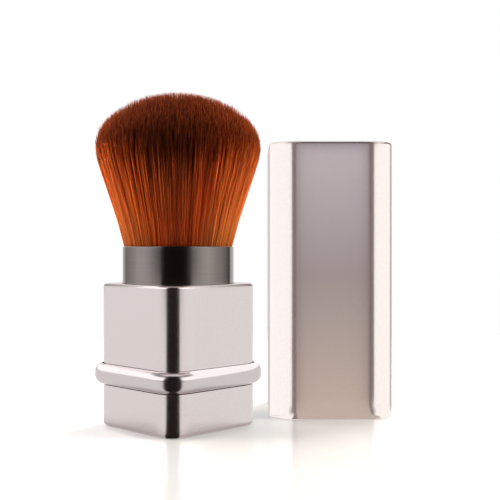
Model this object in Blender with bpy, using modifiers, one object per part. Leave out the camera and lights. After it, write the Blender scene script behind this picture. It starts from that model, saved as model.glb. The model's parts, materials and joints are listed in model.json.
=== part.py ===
"""Retractable makeup brush: a twist-up brush head in a square metal case, with its pull-off cap.

Metres, with +Z up. The brush stands on its base at the origin, with a rounded corner to the
front (-Y) and the head up. Its cap is off, and stands on its mouth beside it.
"""

import math

import bmesh
import bpy
from mathutils import Matrix, Vector

# Fits
FIT_GAP = 0.0003
RUN_GAP = 0.0003
OVERRUN = 0.0010
MERGE_DISTANCE = 0.00001

# Case: the rounded-square section that base and neck share
CASE_WIDTH = 0.0280
CASE_CORNER = 0.0053
CASE_TURN = math.radians(45)

# Base
BASE_HEIGHT = 0.0096
BASE_WALL = 0.0008
BASE_FILLET = 0.0010
BASE_INSERT_RECESS = 0.0003
WEIGHT_LEDGE = 0.0033
WEIGHT_HEIGHT = 0.0034
WEIGHT_CHAMFER = 0.0004
WELL_STEP = 0.0004

# Bead ring
RING_SEAM = 0.0002
RING_HEIGHT = 0.0048
RING_REACH = 0.0020
RING_ROUND = 0.0019

# Neck
NECK_LENGTH = 0.0234
NECK_WALL = 0.0006
NECK_FILLET = 0.0007
NECK_INSERT_WALL = 0.0010
WASHER_THICKNESS = 0.0006
WASHER_WIDTH = 0.0006

# Twist mechanism, from the outside in
CAM_WALL = 0.0012
CAM_FOOT_MARGIN = 0.0021
CAM_TOP_MARGIN = 0.0009
CAM_KEY_WIDTH = 0.0024
CAM_KEY_REACH = 0.0012
CAM_KEY_ROOT = 0.0006
CAM_KEY_RECESS = 0.0003
GUIDE_WALL = 0.0012
GUIDE_FLANGE = 0.0008
CLIP_THICKNESS = 0.0006
CLIP_GROOVE_DEPTH = 0.0007
CLIP_SEAT_GAP = 0.0002
CLIP_REACH = 0.0007
CLIP_OPENING = 0.0050
CLIP_LIP = 0.0006
SKIRT_WALL = 0.0012
SKIRT_MARGIN = 0.0012
PIN_RADIUS = 0.0010
PIN_TIP_RECESS = 0.0002
HEAD_STOP_GAP = 0.0006
TWIST = math.pi

# Head
FERRULE_SIDE_GAP = 0.00035
FERRULE_WALL = 0.0004
FERRULE_SEAT = 0.0020
FERRULE_PROUD = 0.0001
FERRULE_FOOT_GAP = 0.0008
FERRULE_EDGE = 0.00015
CUP_WALL = 0.0010
CUP_FLOOR = 0.0010
CUP_RIM_GAP = 0.0012
KNOT_DEPTH = 0.0036
KNOT_BACKING = 0.0010

# Bristles: a straight fan from the ferrule's mouth up to its widest, then half an ellipse
FAN_RADIUS = 0.0194
FAN_HEIGHT = 0.0218
DOME_HEIGHT = 0.0144
TIP_SCATTER = 0.0010
KNOT_CELLS = 14
STRAND_THICKNESS_SHARE = 0.80
STRAND_SHOULDER_SHARE = 0.82
STRAND_TIP_SHARE = 0.30
SCATTER_STEP_SHARE = 0.6180339887

# Cap
CAP_RUN_GAP = 0.0002
CAP_LENGTH = 0.0674
CAP_WALL = 0.0005
CAP_FILLET = 0.0006
CAP_STAND_GAP = 0.0020
CAP_PLACE_Y = 0.0200
LINER_GAP = 0.0002
LINER_WALL = 0.00035
LINER_RECESS = 0.0010
LINER_HEADROOM = 0.0006

# Facets
CORNER_SEGMENTS = 8
FILLET_SEGMENTS = 3
RING_SEGMENTS = 7
ROUND_STEPS = 48
PIN_SIDES = 12
CAM_SLOT_STEPS = 24
SMOOTH_ANGLE = math.radians(32)

# Radii and widths worked out from the sizes above
NECK_INNER_WIDTH = CASE_WIDTH - 2 * NECK_WALL
NECK_FILL_WIDTH = NECK_INNER_WIDTH - 2 * FIT_GAP
NECK_FILL_CORNER = CASE_CORNER - NECK_WALL - FIT_GAP
BASE_FILL_WIDTH = CASE_WIDTH - 2 * (BASE_WALL + FIT_GAP)
BASE_FILL_CORNER = CASE_CORNER - BASE_WALL - FIT_GAP
RING_WIDTH = CASE_WIDTH + 2 * RING_REACH
RING_CORNER = CASE_CORNER + RING_REACH
CAM_RADIUS = NECK_FILL_WIDTH / 2 - NECK_INSERT_WALL - RUN_GAP
CAM_BORE = CAM_RADIUS - CAM_WALL
CAM_WELL_RADIUS = CAM_RADIUS + FIT_GAP
WEIGHT_RADIUS = CAM_WELL_RADIUS - WEIGHT_LEDGE - FIT_GAP
GUIDE_RADIUS = CAM_BORE - RUN_GAP
GUIDE_BORE = GUIDE_RADIUS - GUIDE_WALL
CLIP_OUTER = GUIDE_RADIUS + CLIP_REACH
SKIRT_RADIUS = GUIDE_BORE - RUN_GAP
SKIRT_BORE = SKIRT_RADIUS - SKIRT_WALL
SLOT_HALF_WIDTH = PIN_RADIUS + RUN_GAP
FERRULE_RADIUS = NECK_INNER_WIDTH / 2 - FERRULE_SIDE_GAP
FERRULE_BORE = FERRULE_RADIUS - FERRULE_WALL
FERRULE_FOOT_BORE = SKIRT_RADIUS + FERRULE_FOOT_GAP
NECK_HOLE_RADIUS = FERRULE_RADIUS + RUN_GAP
CUP_RADIUS = FERRULE_BORE - FIT_GAP
PLUG_RADIUS = CUP_RADIUS - CUP_WALL - FIT_GAP
KNOT_RADIUS = FERRULE_BORE - FIT_GAP
CAP_MARGIN = CAP_RUN_GAP + LINER_WALL + LINER_GAP + CAP_WALL
CAP_WIDTH = CASE_WIDTH + 2 * CAP_MARGIN
CAP_CORNER = CASE_CORNER + CAP_MARGIN
RING_CORNER_REACH = math.sqrt(2) * (RING_WIDTH / 2 - RING_CORNER) + RING_CORNER
CAP_PLACE_X = RING_CORNER_REACH + CAP_STAND_GAP + CAP_WIDTH / 2

# Heights worked out from the sizes above, from the floor up
BASE_FLOOR = BASE_WALL + FIT_GAP
WELL_FLOOR = BASE_FLOOR + WEIGHT_HEIGHT + WELL_STEP
BASE_INSERT_TOP = BASE_HEIGHT - BASE_INSERT_RECESS
RING_BOTTOM = BASE_HEIGHT + RING_SEAM
NECK_TOP = RING_BOTTOM + NECK_LENGTH
WASHER_BOTTOM = BASE_INSERT_TOP + RUN_GAP
NECK_INSERT_BOTTOM = WASHER_BOTTOM + WASHER_THICKNESS + RUN_GAP
CAM_BOTTOM = WELL_FLOOR + FIT_GAP
CLIP_BOTTOM = CAM_BOTTOM + CLIP_LIP + CLIP_SEAT_GAP
CLIP_TOP = CLIP_BOTTOM + CLIP_THICKNESS
PIN_LOW = CLIP_TOP + RUN_GAP + CAM_FOOT_MARGIN + SLOT_HALF_WIDTH
FERRULE_BOTTOM = NECK_TOP - FERRULE_SEAT

# The head slides by what the neck has room for: one stroke in the cam's slots, and one
# between the guide's flange and the ferrule. The ferrule shows by as much.
CAM_END = SLOT_HALF_WIDTH + CAM_TOP_MARGIN + RUN_GAP
STROKE = (FERRULE_BOTTOM - PIN_LOW - CAM_END - GUIDE_FLANGE - HEAD_STOP_GAP) / 2
PIN_HEIGHT = PIN_LOW + STROKE
SKIRT_BOTTOM = PIN_HEIGHT - PIN_RADIUS - SKIRT_MARGIN
FLANGE_BOTTOM = PIN_HEIGHT + CAM_END
FLANGE_TOP = FLANGE_BOTTOM + GUIDE_FLANGE
CAM_TOP = FLANGE_BOTTOM - RUN_GAP
NECK_INSERT_TOP = FLANGE_BOTTOM - FIT_GAP
FERRULE_TOP = NECK_TOP + STROKE + FERRULE_PROUD
CUP_BOTTOM = FERRULE_BOTTOM + FERRULE_WALL + FIT_GAP
BACKING_TOP = FERRULE_TOP - KNOT_DEPTH
BACKING_BOTTOM = BACKING_TOP - KNOT_BACKING
CUP_TOP = BACKING_BOTTOM - CUP_RIM_GAP
PLUG_BOTTOM = CUP_BOTTOM + CUP_FLOOR + FIT_GAP
PLUG_TOP = BACKING_BOTTOM - FIT_GAP


def linear(channel):
    """One sRGB channel, 0 to 255, as a linear value."""
    value = channel / 255
    return value / 12.92 if value <= 0.04045 else ((value + 0.055) / 1.055) ** 2.4


def make_material(name, colour, roughness, metallic):
    """A Principled material with an sRGB colour such as D9CFCC."""
    material = bpy.data.materials.new(name)
    material.use_nodes = True
    shader = material.node_tree.nodes["Principled BSDF"]
    channels = [linear(int(colour[i : i + 2], 16)) for i in (0, 2, 4)]
    shader.inputs["Base Color"].default_value = (*channels, 1)
    shader.inputs["Roughness"].default_value = roughness
    shader.inputs["Metallic"].default_value = metallic
    material.diffuse_color = (*channels, 1)
    return material


def clear_scene():
    for obj in list(bpy.data.objects):
        bpy.data.objects.remove(obj, do_unlink=True)


def make_collection(name):
    collection = bpy.data.collections.new(name)
    bpy.context.scene.collection.children.link(collection)
    return collection


def make_axis(name, place):
    """An empty on a joint's axis, which the pieces of one moving group hang on."""
    axis = bpy.data.objects.new(name, None)
    axis.location = place
    PARTS.objects.link(axis)
    return axis


def make_object(name, mesh, collection):
    obj = bpy.data.objects.new(name, mesh)
    collection.objects.link(obj)
    return obj


def finish_part(obj, material, axis, turn=0):
    """Gives a piece its material, its group's axis and its turn about that axis."""
    obj.data.materials.append(material)
    obj.parent = axis
    obj.rotation_euler.z = turn
    return obj


def mesh_from(name, bm):
    """Closes a bmesh into a smooth-shaded mesh whose faces point outwards."""
    bmesh.ops.recalc_face_normals(bm, faces=bm.faces[:])
    mesh = bpy.data.meshes.new(name)
    bm.to_mesh(mesh)
    bm.free()
    mesh.shade_smooth()
    mesh.set_sharp_from_angle(angle=SMOOTH_ANGLE)
    return mesh


def make_cutter(name, mesh, turn=0):
    cutter = make_object(name, mesh, CUTTERS)
    cutter.rotation_euler.z = turn
    cutter.hide_render = True
    cutter.display_type = "WIRE"
    return cutter


def apply_boolean(obj, other, operation="DIFFERENCE"):
    modifier = obj.modifiers.new(other.name, "BOOLEAN")
    modifier.operation = operation
    modifier.solver = "EXACT"
    modifier.object = other


def add_solidify(obj, wall):
    """Gives an open surface a wall on its inner side."""
    modifier = obj.modifiers.new("Wall", "SOLIDIFY")
    modifier.thickness = wall
    modifier.offset = -1
    modifier.use_even_offset = True


def rim_edges(bm, height):
    """The edges that lie at one height of an upright prism."""
    return [e for e in bm.edges if all(abs(v.co.z - height) < MERGE_DISTANCE for v in e.verts)]


def rounded_prism(width, corner, bottom, top, foot_round=0, head_round=0, segments=FILLET_SEGMENTS):
    """A square prism with rounded upright edges and, where given, rounded ends, as a bmesh."""
    bm = bmesh.new()
    bmesh.ops.create_cube(bm, size=1)
    bmesh.ops.scale(bm, vec=(width, width, top - bottom), verts=bm.verts[:])
    bmesh.ops.translate(bm, vec=(0, 0, (top + bottom) / 2), verts=bm.verts[:])
    upright = [e for e in bm.edges if abs(e.verts[0].co.z - e.verts[1].co.z) > MERGE_DISTANCE]
    bmesh.ops.bevel(
        bm, geom=upright, offset=corner, segments=CORNER_SEGMENTS, profile=0.5, affect="EDGES"
    )
    for height, radius in ((bottom, foot_round), (top, head_round)):
        if radius:
            bmesh.ops.bevel(
                bm,
                geom=rim_edges(bm, height),
                offset=radius,
                segments=segments,
                profile=0.5,
                affect="EDGES",
            )
    return bm


def open_end(bm, height):
    """Removes the flat end of a prism at one height, so that it becomes an open surface."""
    ends = [f for f in bm.faces if all(abs(v.co.z - height) < MERGE_DISTANCE for v in f.verts)]
    bmesh.ops.delete(bm, geom=ends, context="FACES")


def cylinder(radius, bottom, top, sides=ROUND_STEPS):
    """An upright cylinder on the Z axis, as a bmesh."""
    bm = bmesh.new()
    bmesh.ops.create_cone(
        bm, cap_ends=True, segments=sides, radius1=radius, radius2=radius, depth=top - bottom
    )
    bmesh.ops.translate(bm, vec=(0, 0, (top + bottom) / 2), verts=bm.verts[:])
    return bm


def box(low, high):
    """A box between two corners, as a bmesh."""
    bm = bmesh.new()
    bmesh.ops.create_cube(bm, size=1)
    low, high = Vector(low), Vector(high)
    bmesh.ops.scale(bm, vec=high - low, verts=bm.verts[:])
    bmesh.ops.translate(bm, vec=(high + low) / 2, verts=bm.verts[:])
    return bm


def turned(name, profile, collection, closed=True):
    """A turned piece from its (radius, height) profile, which runs down its outer side."""
    count = len(profile)
    edges = [(i, i + 1) for i in range(count - 1)] + ([(count - 1, 0)] if closed else [])
    mesh = bpy.data.meshes.new(name)
    mesh.from_pydata([(radius, 0, height) for radius, height in profile], edges, [])
    obj = make_object(name, mesh, collection)
    screw = obj.modifiers.new("Turn", "SCREW")
    screw.axis = "Z"
    screw.angle = math.tau
    screw.steps = ROUND_STEPS
    screw.render_steps = ROUND_STEPS
    screw.use_merge_vertices = True
    screw.merge_threshold = MERGE_DISTANCE
    return obj


def ring_profile(inner, outer, bottom, top):
    return [(outer, top), (outer, bottom), (inner, bottom), (inner, top)]


def radial_cylinder(radius, inner, outer, height, angle, sides=PIN_SIDES):
    """A cylinder that points out from the Z axis, from one radius to another."""
    bm = cylinder(radius, inner, outer, sides)
    bmesh.ops.rotate(bm, matrix=Matrix.Rotation(math.pi / 2, 3, "Y"), verts=bm.verts[:])
    bmesh.ops.translate(bm, vec=(0, 0, height), verts=bm.verts[:])
    bmesh.ops.rotate(bm, matrix=Matrix.Rotation(angle, 3, "Z"), verts=bm.verts[:])
    return bm


def make_base_shell():
    """The drawn square cup that the brush stands on."""
    bm = rounded_prism(CASE_WIDTH, CASE_CORNER, 0, BASE_HEIGHT, foot_round=BASE_FILLET)
    open_end(bm, BASE_HEIGHT)
    shell = make_object("base_shell", mesh_from("base_shell", bm), PARTS)
    add_solidify(shell, BASE_WALL)
    return finish_part(shell, SATIN_METAL, BASE_AXIS, CASE_TURN)


def make_base_insert():
    """The plug in the base: a pocket for the weight below, and the cam's keyed well above."""
    bm = rounded_prism(BASE_FILL_WIDTH, BASE_FILL_CORNER, BASE_FLOOR, BASE_INSERT_TOP)
    insert = make_object("base_insert", mesh_from("base_insert", bm), PARTS)
    pocket = cylinder(WEIGHT_RADIUS + FIT_GAP, BASE_FLOOR - OVERRUN, WELL_FLOOR + OVERRUN)
    apply_boolean(insert, make_cutter("weight_pocket", mesh_from("weight_pocket", pocket)))
    well = cylinder(CAM_WELL_RADIUS, WELL_FLOOR, BASE_INSERT_TOP + OVERRUN)
    apply_boolean(insert, make_cutter("cam_well", mesh_from("cam_well", well)))
    half_width = CAM_KEY_WIDTH / 2 + FIT_GAP
    reach = CAM_RADIUS + CAM_KEY_REACH + FIT_GAP
    keyway = box((-half_width, -reach, WELL_FLOOR), (half_width, reach, BASE_INSERT_TOP + OVERRUN))
    apply_boolean(insert, make_cutter("cam_keyway", mesh_from("cam_keyway", keyway)))
    return finish_part(insert, MOULDED_PLASTIC, BASE_AXIS, CASE_TURN)


def make_base_weight():
    """The steel disc that keeps the brush standing."""
    top = BASE_FLOOR + WEIGHT_HEIGHT
    profile = [
        (0, top),
        (WEIGHT_RADIUS - WEIGHT_CHAMFER, top),
        (WEIGHT_RADIUS, top - WEIGHT_CHAMFER),
        (WEIGHT_RADIUS, BASE_FLOOR),
        (0, BASE_FLOOR),
    ]
    weight = turned("base_weight", profile, PARTS, closed=False)
    return finish_part(weight, STEEL, BASE_AXIS)


def cam_slot(name, start_angle):
    """A cutter along half a turn of the cam, falling by the stroke from the pin's top place."""
    centre = (CAM_RADIUS + CAM_BORE) / 2
    end_angle = SLOT_HALF_WIDTH / centre
    sweep = TWIST + 2 * end_angle
    fall = STROKE * sweep / TWIST
    bm = bmesh.new()
    bmesh.ops.create_circle(bm, cap_ends=True, segments=PIN_SIDES, radius=SLOT_HALF_WIDTH)
    bmesh.ops.scale(bm, vec=(CAM_WALL / PIN_RADIUS, 1, 1), verts=bm.verts[:])
    bmesh.ops.rotate(bm, matrix=Matrix.Rotation(math.pi / 2, 3, "X"), verts=bm.verts[:])
    top = PIN_HEIGHT + STROKE * end_angle / TWIST
    bmesh.ops.translate(bm, vec=(centre, 0, top), verts=bm.verts[:])
    start = Matrix.Rotation(start_angle - end_angle, 3, "Z")
    bmesh.ops.rotate(bm, matrix=start, verts=bm.verts[:])
    bmesh.ops.spin(
        bm,
        geom=bm.faces[:] + bm.edges[:] + bm.verts[:],
        axis=(0, 0, 1),
        dvec=(0, 0, -fall / CAM_SLOT_STEPS),
        angle=sweep,
        steps=CAM_SLOT_STEPS,
    )
    return make_cutter(name, mesh_from(name, bm))


def make_cam_sleeve():
    """The sleeve that turns with the base. Its two helical slots carry the follower pins."""
    sleeve = turned("cam_sleeve", ring_profile(CAM_BORE, CAM_RADIUS, CAM_BOTTOM, CAM_TOP), PARTS)
    relief_radius = CLIP_OUTER + RUN_GAP
    relief = cylinder(relief_radius, CAM_BOTTOM - OVERRUN, CLIP_TOP + RUN_GAP)
    apply_boolean(sleeve, make_cutter("clip_relief", mesh_from("clip_relief", relief)))
    root = CAM_RADIUS - CAM_KEY_ROOT
    for name, side in (("front_key", -1), ("rear_key", 1)):
        ends = sorted((side * root, side * (CAM_RADIUS + CAM_KEY_REACH)))
        low = (-CAM_KEY_WIDTH / 2, ends[0], CAM_BOTTOM + CLIP_LIP)
        high = (CAM_KEY_WIDTH / 2, ends[1], BASE_INSERT_TOP - CAM_KEY_RECESS)
        key = make_cutter(name, mesh_from(name, box(low, high)))
        apply_boolean(sleeve, key, "UNION")
    apply_boolean(sleeve, cam_slot("first_cam_slot", 0))
    apply_boolean(sleeve, cam_slot("second_cam_slot", math.pi))
    return finish_part(sleeve, SLIP_PLASTIC, BASE_AXIS)


def make_drag_washer():
    """The soft washer round the cam, between the base and the neck."""
    inner = CAM_RADIUS + RUN_GAP
    profile = ring_profile(
        inner, inner + WASHER_WIDTH, WASHER_BOTTOM, WASHER_BOTTOM + WASHER_THICKNESS
    )
    return finish_part(turned("drag_washer", profile, PARTS), SOFT_RUBBER, BASE_AXIS)


def make_bead_ring():
    """The half-round polished ring pressed on the foot of the neck."""
    top = RING_BOTTOM + RING_HEIGHT
    rounds = (RING_ROUND, RING_ROUND, RING_SEGMENTS)
    bm = rounded_prism(RING_WIDTH, RING_CORNER, RING_BOTTOM, top, *rounds)
    ring = make_object("bead_ring", mesh_from("bead_ring", bm), PARTS)
    hole = rounded_prism(
        CASE_WIDTH + 2 * FIT_GAP, CASE_CORNER + FIT_GAP, RING_BOTTOM - OVERRUN, top + OVERRUN
    )
    apply_boolean(ring, make_cutter("ring_hole", mesh_from("ring_hole", hole), CASE_TURN))
    return finish_part(ring, POLISHED_METAL, NECK_AXIS, CASE_TURN)


def make_neck_shell():
    """The drawn square tube that the cap slides over, closed on top but for the head's hole."""
    bm = rounded_prism(CASE_WIDTH, CASE_CORNER, RING_BOTTOM, NECK_TOP, head_round=NECK_FILLET)
    open_end(bm, RING_BOTTOM)
    shell = make_object("neck_shell", mesh_from("neck_shell", bm), PARTS)
    add_solidify(shell, NECK_WALL)
    hole = cylinder(NECK_HOLE_RADIUS, NECK_TOP - NECK_WALL - OVERRUN, NECK_TOP + OVERRUN)
    apply_boolean(shell, make_cutter("head_hole", mesh_from("head_hole", hole)))
    return finish_part(shell, SATIN_METAL, NECK_AXIS, CASE_TURN)


def make_neck_insert():
    """The block glued in the neck, whose bore the cam turns in."""
    bm = rounded_prism(NECK_FILL_WIDTH, NECK_FILL_CORNER, NECK_INSERT_BOTTOM, NECK_INSERT_TOP)
    insert = make_object("neck_insert", mesh_from("neck_insert", bm), PARTS)
    bore = cylinder(
        CAM_RADIUS + RUN_GAP, NECK_INSERT_BOTTOM - OVERRUN, NECK_INSERT_TOP + OVERRUN
    )
    apply_boolean(insert, make_cutter("cam_bore", mesh_from("cam_bore", bore)))
    return finish_part(insert, MOULDED_PLASTIC, NECK_AXIS, CASE_TURN)


def make_guide_tube():
    """The tube that keeps the head from turning, hung in the neck by its square flange."""
    bm = rounded_prism(NECK_FILL_WIDTH, NECK_FILL_CORNER, FLANGE_BOTTOM, FLANGE_TOP)
    guide = make_object("guide_tube", mesh_from("guide_tube", bm), PARTS)
    tube = cylinder(GUIDE_RADIUS, CAM_BOTTOM, FLANGE_TOP - GUIDE_FLANGE / 2)
    apply_boolean(guide, make_cutter("guide_body", mesh_from("guide_body", tube)), "UNION")
    bore = cylinder(GUIDE_BORE, CAM_BOTTOM - OVERRUN, FLANGE_TOP + OVERRUN)
    apply_boolean(guide, make_cutter("guide_bore", mesh_from("guide_bore", bore)))
    groove_profile = ring_profile(
        GUIDE_RADIUS - CLIP_GROOVE_DEPTH,
        GUIDE_RADIUS + OVERRUN,
        CLIP_BOTTOM - CLIP_SEAT_GAP,
        CLIP_TOP + CLIP_SEAT_GAP,
    )
    groove = turned("clip_groove", groove_profile, CUTTERS)
    groove.hide_render = True
    groove.display_type = "WIRE"
    apply_boolean(guide, groove)
    reach = GUIDE_RADIUS + OVERRUN
    slots = box(
        (-reach, -SLOT_HALF_WIDTH, PIN_LOW - SLOT_HALF_WIDTH),
        (reach, SLOT_HALF_WIDTH, PIN_HEIGHT + SLOT_HALF_WIDTH),
    )
    apply_boolean(guide, make_cutter("guide_slots", mesh_from("guide_slots", slots)))
    return finish_part(guide, SLIP_PLASTIC, NECK_AXIS, CASE_TURN)


def make_retaining_clip():
    """The open snap ring in the guide tube's groove, which the cam's foot turns above."""
    inner = GUIDE_RADIUS - CLIP_GROOVE_DEPTH + CLIP_SEAT_GAP
    clip = turned("retaining_clip", ring_profile(inner, CLIP_OUTER, CLIP_BOTTOM, CLIP_TOP), PARTS)
    low = (-CLIP_OPENING / 2, 0, CLIP_BOTTOM - OVERRUN)
    high = (CLIP_OPENING / 2, CLIP_OUTER + OVERRUN, CLIP_TOP + OVERRUN)
    apply_boolean(clip, make_cutter("clip_opening", mesh_from("clip_opening", box(low, high))))
    return finish_part(clip, STEEL, NECK_AXIS)


def make_head_carrier():
    """The carrier: a skirt that slides in the guide tube, and a cup for the bristle knot."""
    floor_top = CUP_BOTTOM + CUP_FLOOR
    profile = [
        (CUP_RADIUS - CUP_WALL, CUP_TOP),
        (CUP_RADIUS, CUP_TOP),
        (CUP_RADIUS, CUP_BOTTOM),
        (SKIRT_RADIUS, CUP_BOTTOM),
        (SKIRT_RADIUS, SKIRT_BOTTOM),
        (SKIRT_BORE, SKIRT_BOTTOM),
        (SKIRT_BORE, CUP_BOTTOM),
        (0, CUP_BOTTOM),
    ]
    inside = [(0, floor_top), (CUP_RADIUS - CUP_WALL, floor_top)]
    carrier = turned("head_carrier", inside + profile, PARTS, closed=False)
    reach = SKIRT_RADIUS + OVERRUN
    holes = radial_cylinder(PIN_RADIUS + FIT_GAP, -reach, reach, PIN_HEIGHT, 0)
    apply_boolean(carrier, make_cutter("pin_holes", mesh_from("pin_holes", holes)))
    return finish_part(carrier, MOULDED_PLASTIC, HEAD_AXIS)


def make_follower_pin(name, angle):
    """A steel pin from the carrier's skirt out into the cam's slot."""
    bm = radial_cylinder(PIN_RADIUS, SKIRT_BORE, CAM_RADIUS - PIN_TIP_RECESS, PIN_HEIGHT, angle)
    pin = make_object(name, mesh_from(name, bm), PARTS)
    return finish_part(pin, STEEL, HEAD_AXIS)


def make_ferrule():
    """The glossy tube round the knot. Its foot turns in under the carrier's cup."""
    profile = [
        (FERRULE_BORE, FERRULE_TOP),
        (FERRULE_RADIUS - FERRULE_EDGE, FERRULE_TOP),
        (FERRULE_RADIUS, FERRULE_TOP - FERRULE_EDGE),
        (FERRULE_RADIUS, FERRULE_BOTTOM + FERRULE_WALL),
        (FERRULE_RADIUS - FERRULE_WALL, FERRULE_BOTTOM),
        (FERRULE_FOOT_BORE, FERRULE_BOTTOM),
        (FERRULE_FOOT_BORE, FERRULE_BOTTOM + FERRULE_WALL),
        (FERRULE_BORE, FERRULE_BOTTOM + FERRULE_WALL),
    ]
    return finish_part(turned("ferrule", profile, PARTS), DARK_METAL, HEAD_AXIS)


def make_bristle_plug():
    """The resin that holds the knot in the cup."""
    profile = [(0, PLUG_TOP), (PLUG_RADIUS, PLUG_TOP), (PLUG_RADIUS, PLUG_BOTTOM), (0, PLUG_BOTTOM)]
    plug = turned("bristle_plug", profile, PARTS, closed=False)
    return finish_part(plug, RESIN, HEAD_AXIS)


def disc_point(point):
    """A point of the square from -1 to 1 moved to its place on the unit disc, cells kept even."""
    x, y = point.x, point.y
    if abs(x) > abs(y):
        radius, angle = x, math.pi / 4 * y / x
    elif y:
        radius, angle = y, math.pi / 2 - math.pi / 4 * x / y
    else:
        radius, angle = 0, 0
    return Vector((radius * math.cos(angle), radius * math.sin(angle), 0))


def tip_rise(radius):
    """How far above the ferrule's mouth a strand that starts at this radius meets the dome."""
    spread = (FAN_RADIUS / KNOT_RADIUS - 1) / FAN_HEIGHT
    reach = radius / FAN_RADIUS
    square = (reach * spread) ** 2 + 1 / DOME_HEIGHT**2
    slope = reach**2 * spread - FAN_HEIGHT / DOME_HEIGHT**2
    rest = reach**2 + (FAN_HEIGHT / DOME_HEIGHT) ** 2 - 1
    return (-slope + math.sqrt(max(slope**2 - square * rest, 0))) / square


def strand_stations(radius, index):
    """A strand's heights from its foot, each with its fan factor and its share of its cell."""
    scatter = TIP_SCATTER * (index * SCATTER_STEP_SHARE % 1)
    rise = tip_rise(radius) - scatter
    shares = (
        (0, STRAND_THICKNESS_SHARE),
        (STRAND_SHOULDER_SHARE, STRAND_THICKNESS_SHARE),
        (1, STRAND_TIP_SHARE),
    )
    spread = (FAN_RADIUS / KNOT_RADIUS - 1) / FAN_HEIGHT
    return [(FERRULE_TOP + rise * s, 1 + spread * rise * s, size) for s, size in shares]


def make_bristles():
    """The knot: three-sided strands that fan out from a slice of their backing, none crossing."""
    bm = bmesh.new()
    bmesh.ops.create_grid(bm, x_segments=KNOT_CELLS, y_segments=KNOT_CELLS, size=1)
    for vert in bm.verts:
        vert.co = disc_point(vert.co) * KNOT_RADIUS
        vert.co.z = BACKING_BOTTOM
    bmesh.ops.triangulate(bm, faces=bm.faces[:])
    grown = bmesh.ops.extrude_face_region(bm, geom=bm.faces[:])["geom"]
    for vert in (g for g in grown if isinstance(g, bmesh.types.BMVert)):
        vert.co.z = BACKING_TOP
    bottoms = [f for f in bm.faces if all(v.co.z < BACKING_TOP - MERGE_DISTANCE for v in f.verts)]
    bmesh.ops.dissolve_faces(bm, faces=bottoms)
    tops = [f for f in bm.faces if all(v.co.z > BACKING_TOP - MERGE_DISTANCE for v in f.verts)]
    cells = [(f, f.calc_center_median(), [v.co.copy() for v in f.verts]) for f in tops]
    for station in range(3):
        grown_cells = []
        for index, (face, centre, corners) in enumerate(cells):
            flat = Vector((centre.x, centre.y, 0))
            height, fan, size = strand_stations(flat.length, index)[station]
            face = bmesh.ops.extrude_discrete_faces(bm, faces=[face])["faces"][0]
            for vert, corner in zip(face.verts, corners):
                offset = Vector((corner.x, corner.y, 0)) - flat
                vert.co = (flat + offset * size) * fan
                vert.co.z = height
            grown_cells.append((face, centre, corners))
        cells = grown_cells
    bristles = make_object("bristles", mesh_from("bristles", bm), PARTS)
    return finish_part(bristles, BRISTLE_HAIR, HEAD_AXIS)


def make_cap_shell():
    """The drawn square cap, closed on top and open at its mouth."""
    bm = rounded_prism(CAP_WIDTH, CAP_CORNER, 0, CAP_LENGTH, head_round=CAP_FILLET)
    open_end(bm, 0)
    shell = make_object("cap_shell", mesh_from("cap_shell", bm), PARTS)
    add_solidify(shell, CAP_WALL)
    return finish_part(shell, SATIN_METAL, CAP_AXIS)


def make_cap_liner():
    """The plastic sleeve in the cap that grips the neck."""
    inset = CAP_WALL + LINER_GAP
    top = CAP_LENGTH - CAP_WALL - LINER_HEADROOM
    bm = rounded_prism(CAP_WIDTH - 2 * inset, CAP_CORNER - inset, LINER_RECESS, top)
    open_end(bm, LINER_RECESS)
    open_end(bm, top)
    liner = make_object("cap_liner", mesh_from("cap_liner", bm), PARTS)
    add_solidify(liner, LINER_WALL)
    return finish_part(liner, MOULDED_PLASTIC, CAP_AXIS)


clear_scene()
PARTS = make_collection("Retractable makeup brush")
CUTTERS = make_collection("Cutters")

SATIN_METAL = make_material("satin anodised aluminium", "D9CFCC", 0.32, 1)
POLISHED_METAL = make_material("polished plated metal", "E2DCDC", 0.08, 1)
DARK_METAL = make_material("gunmetal plated ferrule", "3A3634", 0.12, 1)
STEEL = make_material("plain steel", "A8A8AA", 0.35, 1)
MOULDED_PLASTIC = make_material("moulded plastic", "D8D6D2", 0.45, 0)
SLIP_PLASTIC = make_material("low friction plastic", "F0EFEA", 0.35, 0)
SOFT_RUBBER = make_material("soft rubber", "2A2A2C", 0.7, 0)
RESIN = make_material("cast resin", "C9B48A", 0.4, 0)
BRISTLE_HAIR = make_material("synthetic brush fibre", "A4431C", 0.5, 0)

BASE_AXIS = make_axis("base_axis", (0, 0, 0))
NECK_AXIS = make_axis("neck_axis", (0, 0, 0))
HEAD_AXIS = make_axis("head_axis", (0, 0, 0))
CAP_AXIS = make_axis("cap_axis", (CAP_PLACE_X, CAP_PLACE_Y, 0))

make_base_shell()
make_base_insert()
make_base_weight()
make_cam_sleeve()
make_drag_washer()
make_bead_ring()
make_neck_shell()
make_neck_insert()
make_guide_tube()
make_retaining_clip()
make_head_carrier()
make_follower_pin("follower_pin_right", 0)
make_follower_pin("follower_pin_left", math.pi)
make_ferrule()
make_bristle_plug()
make_bristles()
make_cap_shell()
make_cap_liner()
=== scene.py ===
"""Looks of a twist-up makeup brush with a square metal case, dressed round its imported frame.

The brush stands open on its base and its cap stands beside it. Shells, ferrule and bristles are
modelled finely here in place of the frame's coarser solids, and every surface gets its finish.
"""

import json
import logging
import math
from collections.abc import Callable
from dataclasses import dataclass, replace
from enum import Enum
from functools import cached_property

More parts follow.
